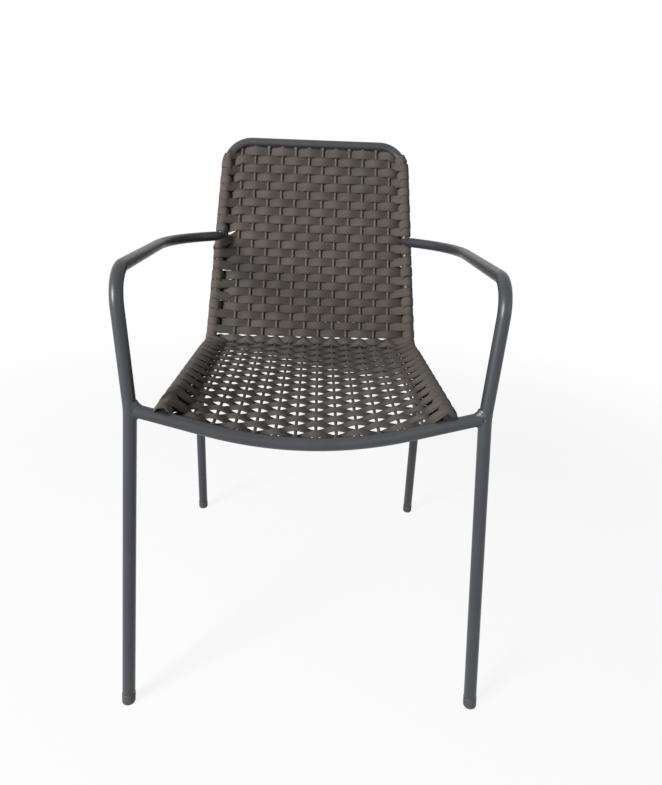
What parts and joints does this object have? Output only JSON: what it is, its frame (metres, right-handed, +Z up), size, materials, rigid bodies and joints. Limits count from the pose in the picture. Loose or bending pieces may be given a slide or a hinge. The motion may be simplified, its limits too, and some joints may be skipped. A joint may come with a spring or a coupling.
{
  "type": "strap-woven metal armchair",
  "caption": "Bistro armchair with a bent round-tube metal frame, arms that run on into the front legs, and a seat and back woven from flat strap.",
  "frame": {"origin": "centre of the chair's footprint box, on the floor", "axes": "+Z up, +Y towards the back of the chair, +X to the right as the chair is seen from the front"},
  "size_m": [0.571, 0.6346, 0.8524],
  "materials": {
    "frame_coating": "fine satin powder coat, dark grey",
    "woven_strap": "flat braided strap with fine cross ribs, taupe",
    "foot_plastic": "matt, dark grey"
  },
  "bodies": {
    "root": {"front_leg_arm_left": "frame_coating", "front_leg_arm_right": "frame_coating", "seat_back_tube": "frame_coating", "rear_leg_hoop": "frame_coating", "front_rail": "frame_coating", "warp_rod_01": "frame_coating", "warp_rod_02": "frame_coating", "warp_rod_03": "frame_coating", "warp_rod_04": "frame_coating", "warp_rod_05": "frame_coating", "warp_rod_06": "frame_coating", "warp_rod_07": "frame_coating", "warp_rod_08": "frame_coating", "warp_rod_09": "frame_coating", "warp_rod_10": "frame_coating", "warp_rod_11": "frame_coating", "warp_rod_12": "frame_coating", "strap_course_01": "woven_strap", "strap_course_02": "woven_strap", "strap_course_03": "woven_strap", "strap_course_04": "woven_strap", "strap_course_05": "woven_strap", "strap_course_06": "woven_strap", "strap_course_07": "woven_strap", "strap_course_08": "woven_strap", "strap_course_09": "woven_strap", "strap_course_10": "woven_strap", "strap_course_11": "woven_strap", "strap_course_12": "woven_strap", "strap_course_13": "woven_strap", "strap_course_14": "woven_strap", "strap_course_15": "woven_strap", "strap_course_16": "woven_strap", "strap_course_17": "woven_strap", "strap_course_18": "woven_strap", "strap_course_19": "woven_strap", "strap_course_20": "woven_strap", "strap_course_21": "woven_strap", "strap_course_22": "woven_strap", "strap_course_23": "woven_strap", "strap_course_24": "woven_strap", "strap_course_25": "woven_strap", "foot_front_left": "foot_plastic", "foot_rear_left": "foot_plastic", "foot_front_right": "foot_plastic", "foot_rear_right": "foot_plastic"}
  },
  "joints": []
}
